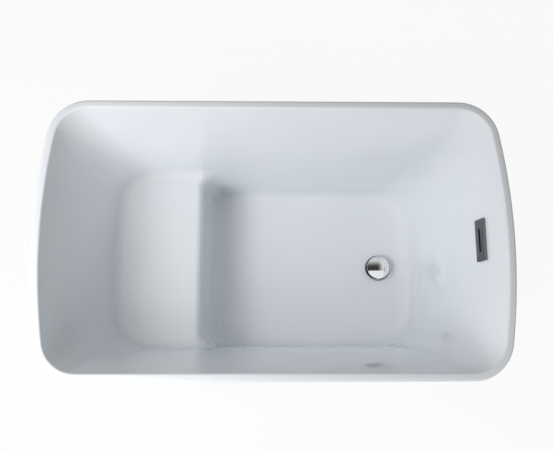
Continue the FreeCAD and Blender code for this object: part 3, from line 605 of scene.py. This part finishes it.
def lathe(name, profile, centre):
    """A turned piece from a profile of radii and heights about a vertical line."""
    angles = np.arange(LATHE_STEPS) * 2 * math.pi / LATHE_STEPS
    circle = np.column_stack([np.cos(angles), np.sin(angles), 0 * angles])
    rows = [circle * radius + (centre.x, centre.y, z) for radius, z in profile]
    piece = new_object(name, np.concatenate(rows), rings_to_faces(len(rows), LATHE_STEPS))
    smooth(piece)
    return piece


def arc(centre, radius, start, stop, count):
    """Points of an arc in the plane of a profile, between two angles in degrees."""
    angles = np.radians(np.linspace(start, stop, count))
    return [(centre[0] + radius * math.cos(a), centre[1] + radius * math.sin(a)) for a in angles]


def drain_cap():
    """The pop-up cap: a shallow polished dome with a rounded edge, and the boss that takes its stem."""
    low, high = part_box("drain_cap")
    centre = (low + high) / 2
    radius = (high.x - low.x) / 2
    base = low.z + CAP_BOSS_DEPTH
    edge_top = base + CAP_EDGE
    crown = high.z - edge_top
    ball = (radius ** 2 + crown ** 2) / (2 * crown)
    side = math.degrees(math.acos((radius - CAP_ROUND) / ball))
    dome = arc((0, high.z - ball), ball, 90, side, CAP_DOME_POINTS)
    edge_z = dome[-1][1] - CAP_ROUND
    edge = arc((radius - CAP_ROUND, edge_z), CAP_ROUND, side, 0, CAP_ROUND_POINTS)
    under_round = CAP_ROUND / 2
    under = arc((radius - under_round, base + under_round), under_round, 0, -90, CAP_UNDER_POINTS)
    boss = [(CAP_BOSS / 2, base), (CAP_BOSS / 2, low.z), (0, low.z)]
    return lathe("pop_up_cap", dome + edge + under + boss, centre)


def drain_spring():
    """The coil spring that lifts the cap, one round wire between the spider's hub and the cap's boss."""
    low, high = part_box("drain_spring")
    coil = (high.x - low.x - SPRING_WIRE) / 2
    rise = (high.z - low.z - SPRING_WIRE) / (2 * math.pi * SPRING_TURNS)
    centre = Vector(((low.x + high.x) / 2, (low.y + high.y) / 2, low.z + SPRING_WIRE / 2))
    ring = np.arange(SPRING_SIDES) * 2 * math.pi / SPRING_SIDES
    count = SPRING_TURNS * SPRING_STEPS + 1
    points = []
    for angle in np.linspace(0, 2 * math.pi * SPRING_TURNS, count):
        out = Vector((math.cos(angle), math.sin(angle), 0))
        along = Vector((-out.y * coil, out.x * coil, rise)).normalized()
        place = centre + out * coil + Vector((0, 0, rise * angle))
        up = along.cross(out)
        points += [place + (out * math.cos(a) + up * math.sin(a)) * SPRING_WIRE / 2 for a in ring]
    ends = [tuple(range(SPRING_SIDES)), tuple(range(len(points) - SPRING_SIDES, len(points)))]
    piece = new_object("coil_spring", points, rings_to_faces(count, SPRING_SIDES) + ends)
    smooth(piece)
    return piece


def squash_spring(piece):
    """Gives the spring a mesh of its own."""
    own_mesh(piece)


def rounded_rectangle(half_length, half_height, radius, depth):
    """A closed loop of points round a rounded rectangle that faces along X, at a depth."""
    points = []
    for turn, (y, z) in enumerate(((1, 1), (-1, 1), (-1, -1), (1, -1))):
        centre = (y * (half_length - radius), z * (half_height - radius))
        points += arc(centre, radius, 90 * turn, 90 * turn + 90, COVER_CORNER_POINTS)
    return np.array([(depth, y, z) for y, z in points])


def overflow_cover():
    """The overflow's slim tray, with chamfered edges and a slot through its face."""
    half_length = COVER_LENGTH / 2
    half_height = COVER_HEIGHT / 2
    slot = (COVER_SLOT_LENGTH / 2, COVER_SLOT_HEIGHT / 2)
    inner = COVER_FACE + COVER_WALL

    def outer(inset, depth):
        """The tray's outline, or a line inside it, at a depth."""
        radius = max(COVER_CORNER - inset, COVER_ROUND)
        return rounded_rectangle(half_length - inset, half_height - inset, radius, depth)

    def opening(grown, depth):
        """The slot's outline, or a line outside it, at a depth."""
        return rounded_rectangle(slot[0] + grown, slot[1] + grown, slot[1] + grown, depth)

    rows = [opening(0, inner), opening(0, COVER_FACE + COVER_ROUND), opening(COVER_ROUND, COVER_FACE)]
    rows += [outer(COVER_CHAMFER, COVER_FACE), outer(COVER_ROUND, COVER_FACE + COVER_CHAMFER_DROP)]
    rows += [outer(0, COVER_FACE + COVER_CHAMFER_DROP + COVER_ROUND), outer(0, COVER_BACK)]
    rows += [outer(COVER_WALL, COVER_BACK), outer(COVER_WALL, inner + COVER_CHAMFER_DROP)]
    piece = new_object("overflow_plate", np.concatenate(rows),
                       rings_to_faces(len(rows), len(rows[0]), closed_rows=True))
    piece.data.transform(overflow_place())
    smooth(piece)
    return piece


def overflow_place():
    """The frame of the overflow on the drain-end wall: X out behind the wall, Z up it."""
    x = inner_half_length - OVERFLOW_DROP * math.tan(DRAIN_WALL_LEAN)
    lean = Matrix.Rotation(DRAIN_WALL_LEAN, 4, "Y")
    low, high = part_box("overflow_cover")
    return Matrix.Translation((x, (low.y + high.y) / 2, rim_z - OVERFLOW_DROP)) @ lean


def set_inputs(tree, node, inputs):
    """Sets a node's inputs, which are values or the outputs of other nodes."""
    for key, value in inputs.items():
        if isinstance(value, bpy.types.NodeSocket):
            tree.links.new(value, node.inputs[key])
        else:
            node.inputs[key].default_value = value


def add(tree, kind, inputs=None, **settings):
    """A new node with its settings and its inputs."""
    node = tree.nodes.new(kind)
    for key, value in settings.items():
        setattr(node, key, value)
    set_inputs(tree, node, inputs or {})
    return node


def noise(tree, scale, stretch=NO_STRETCH, detail=NOISE_DETAIL):
    """Noise over the object's own coordinates, which can be drawn out along an axis."""
    place = add(tree, "ShaderNodeTexCoord")
    mapped = add(tree, "ShaderNodeMapping", {"Vector": place.outputs["Object"], "Scale": stretch})
    sizes = {"Vector": mapped.outputs["Vector"], "Scale": scale, "Detail": detail}
    return add(tree, "ShaderNodeTexNoise", sizes).outputs["Fac"]


def shades(tree, grain, tones):
    """A colour that runs from dark to light with the noise."""
    ramp = add(tree, "ShaderNodeValToRGB", {"Fac": grain})
    for stop, place, colour in zip(ramp.color_ramp.elements, (NOISE_LOW, NOISE_HIGH), tones):
        stop.position = place
        stop.color = (*colour, 1)
    return ramp.outputs["Color"]


def between(tree, grain, low, high):
    """A number that runs from low to high with the noise."""
    ends = {"Value": grain, "From Min": NOISE_LOW, "From Max": NOISE_HIGH, "To Min": low, "To Max": high}
    return add(tree, "ShaderNodeMapRange", ends).outputs["Result"]


def relief(tree, grain, strength, depth):
    """A normal that follows the noise as a height over the surface."""
    sizes = {"Height": grain, "Strength": strength, "Distance": depth}
    return add(tree, "ShaderNodeBump", sizes).outputs["Normal"]


def start_material(name):
    """A new material, its node tree and its shader."""
    material = bpy.data.materials.new(name)
    material.use_nodes = True
    return material, material.node_tree, material.node_tree.nodes["Principled BSDF"]


def grained(name, tones, rough, scale, stretch=NO_STRETCH,
            strength=GRAIN_STRENGTH, depth=GRAIN_DEPTH, metallic=0.0):
    """A material whose grain sets its colour, its roughness and a fine relief."""
    material, tree, shader = start_material(name)
    grain = noise(tree, scale, stretch)
    set_inputs(tree, shader, {
        "Base Color": shades(tree, grain, tones),
        "Metallic": metallic,
        "Roughness": between(tree, grain, *rough),
        "Normal": relief(tree, grain, strength, depth),
    })
    return material


def acrylic():
    """Glossy white acrylic, drawn over a mould: a faint cloudiness and a slow waviness in its gloss."""
    material, tree, shader = start_material("acrylic")
    wavy = relief(tree, noise(tree, **ACRYLIC_WAVE), **ACRYLIC_WAVE_DEPTH)
    set_inputs(tree, shader, ACRYLIC_GLOSS)
    set_inputs(tree, shader, {
        "Base Color": shades(tree, noise(tree, **ACRYLIC_CLOUD), ACRYLIC_TONES),
        "Roughness": between(tree, noise(tree, **ACRYLIC_GRAIN), *ACRYLIC_ROUGH),
        "Normal": wavy,
        "Coat Normal": wavy,
    })
    return material


def chrome():
    """Mirror-bright chrome: no blur, a faint unevenness of tone and of its plated face."""
    material, tree, shader = start_material("chrome")
    set_inputs(tree, shader, {
        "Base Color": shades(tree, noise(tree, **CHROME_CLOUD), CHROME_TONES),
        "Metallic": 1.0,
        "Roughness": 0.0,
        "Normal": relief(tree, noise(tree, **CHROME_WAVE), **CHROME_WAVE_DEPTH),
    })
    return material


def finishes():
    """One material for each finish in the record."""
    made = {name: grained(name, **look) for name, look in GRAINED.items()}
    return made | {"acrylic": acrylic(), "chrome": chrome()}


def dress(piece, body, slot, *nodes):
    """Puts a piece on its body in place of solids, with its finish."""
    piece.data.materials.clear()
    piece.data.materials.append(materials[slot])
    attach(piece, body)
    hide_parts(*nodes)


def lamp(name, place, power):
    """A soft square lamp that shines into the bath and shows neither to the camera nor in a gloss."""
    light = bpy.data.lights.new(name, "AREA")
    light.shape = "SQUARE"
    light.size = LAMP_SIZE
    light.energy = power
    placed = bpy.data.objects.new(name, light)
    placed.location = place
    placed.rotation_euler = (LAMP_AIM - placed.location).to_track_quat("-Z", "Y").to_euler()
    placed.visible_glossy = False
    placed.visible_camera = False
    bpy.context.scene.collection.objects.link(placed)


def grey(level):
    """A plain grey, from black at 0 to white at 1."""
    return (level, level, level, 1)


def calculate(tree, operation, first, second):
    """What a calculation makes of two numbers."""
    return add(tree, "ShaderNodeMath", {0: first, 1: second}, operation=operation).outputs["Value"]


def seen_directly(tree):
    """One where a ray comes from the camera, a reflection or a clear material, and otherwise nought."""
    rays = add(tree, "ShaderNodeLightPath").outputs
    mirrored = calculate(tree, "MAXIMUM", rays["Is Glossy Ray"], rays["Is Transmission Ray"])
    return calculate(tree, "MAXIMUM", rays["Is Camera Ray"], mirrored)


def empty_material(name):
    """A new material with no nodes, and its node tree."""
    material = bpy.data.materials.new(name)
    material.use_nodes = True
    material.node_tree.nodes.clear()
    return material, material.node_tree


def show_mix(tree, share, first, second):
    """Shows a mix of two shaders, with the second one's share."""
    mix = add(tree, "ShaderNodeMixShader", {"Fac": share, 1: first, 2: second})
    add(tree, "ShaderNodeOutputMaterial", {"Surface": mix.outputs["Shader"]})


def level_sheet(name, low, high, z, material):
    """A level sheet between two corners of its plan, for the stage."""
    plan = ((low.x, low.y), (high.x, low.y), (high.x, high.y), (low.x, high.y))
    sheet = new_object(name, [(x, y, z) for x, y in plan], [(0, 1, 2, 3)])
    sheet.data.materials.append(material)
    return sheet


def floor():
    """A pale floor that looks white and keeps a faint shadow of the bath."""
    material, tree = empty_material("pale_floor")
    matte = add(tree, "ShaderNodeBsdfDiffuse", {"Color": grey(FLOOR_GREY)})
    bright = add(tree, "ShaderNodeEmission", {"Color": grey(1), "Strength": 1.0})
    share = calculate(tree, "MULTIPLY", seen_directly(tree), FLOOR_WHITE_SHARE)
    show_mix(tree, share, matte.outputs["BSDF"], bright.outputs["Emission"])
    corner = Vector((FLOOR_REACH, FLOOR_REACH))
    level_sheet("floor", -corner, corner, 0, material)


def world():
    """White where it is seen, and a softer light on the bath."""
    scene_world = bpy.data.worlds.new("studio")
    scene_world.use_nodes = True
    bpy.context.scene.world = scene_world
    tree = scene_world.node_tree
    tree.nodes.clear()
    ends = {"Value": seen_directly(tree), "To Min": WORLD_FILL, "To Max": 1.0}
    strength = add(tree, "ShaderNodeMapRange", ends).outputs["Result"]
    back = add(tree, "ShaderNodeBackground", {"Color": grey(1), "Strength": strength})
    add(tree, "ShaderNodeOutputWorld", {"Surface": back.outputs["Background"]})


def painted_reflection_share(tree):
    """How much of the panel's painted dark reflection shows: none but in a mirror, and there less and less
    towards its four edges.
    """
    place = add(tree, "ShaderNodeTexCoord").outputs["Object"]
    axes = add(tree, "ShaderNodeSeparateXYZ", {"Vector": place}).outputs
    share = add(tree, "ShaderNodeLightPath").outputs["Is Singular Ray"]
    for axis in (0, 1):
        for edge, fade in ((PANEL_LOW, PANEL_FADE_LOW), (PANEL_HIGH, -PANEL_FADE_HIGH)):
            ends = {"Value": axes[axis], "From Min": edge[axis], "From Max": edge[axis] + fade[axis]}
            part = add(tree, "ShaderNodeMapRange", ends, interpolation_type="SMOOTHSTEP")
            share = calculate(tree, "MULTIPLY", share, part.outputs["Result"])
    return share


def panel():
    """A dark panel with soft edges over the bath that paints a dark reflection: it shows only in a mirror
    finish.
    """
    material, tree = empty_material("painted_reflection_panel")
    clear = add(tree, "ShaderNodeBsdfTransparent")
    # The painted dark reflection: a dim glow that only mirror rays see
    dark = add(tree, "ShaderNodeEmission", {"Color": grey(PAINTED_REFLECTION_GREY), "Strength": 1.0})
    show_mix(tree, painted_reflection_share(tree), clear.outputs["BSDF"], dark.outputs["Emission"])
    board = level_sheet("painted_reflection_panel", PANEL_LOW, PANEL_HIGH, PANEL_HEIGHT, material)
    board.visible_camera = False
    board.visible_diffuse = False
    board.visible_transmission = False
    board.visible_shadow = False


def camera():
    """The photograph's viewpoint: almost straight down, leaning towards the near side."""
    data = bpy.data.cameras.new("camera")
    data.sensor_width = SENSOR_WIDTH
    data.lens = FOCAL_PIXELS / IMAGE_WIDTH * SENSOR_WIDTH
    view = bpy.data.objects.new("camera", data)
    tilt = Matrix.Rotation(CAMERA_TILT, 3, "X")
    swing = Matrix.Rotation(CAMERA_SWING, 3, "Y")
    roll = Matrix.Rotation(CAMERA_ROLL, 3, "Z")
    place = Matrix.Translation(CAMERA_PLACE + Vector((0, 0, rim_z)))
    view.matrix_world = place @ (tilt @ swing @ roll).to_4x4()
    bpy.context.scene.collection.objects.link(view)
    bpy.context.scene.camera = view


materials = finishes()
for row in frame["record"]["subparts"]:
    solid = frame["nodes"][row["node"]]
    solid.data.materials.clear()
    solid.data.materials.append(materials[row["material_slot"]])

dress(finish_basin(basin()), "tub", "acrylic", "inner_basin")
dress(skirt(), "tub", "acrylic", "outer_skirt")
dress(drain_cap(), "drain_plug", "chrome", "drain_cap")
dress(overflow_cover(), "tub", "gunmetal", "overflow_cover")
spring = drain_spring()
dress(spring, "tub", "spring_steel", "drain_spring")
squash_spring(spring)

floor()
world()
panel()
for name, (place, power) in LAMPS.items():
    lamp(name, place, power)
camera()
bpy.context.scene.view_settings.view_transform = "Standard"
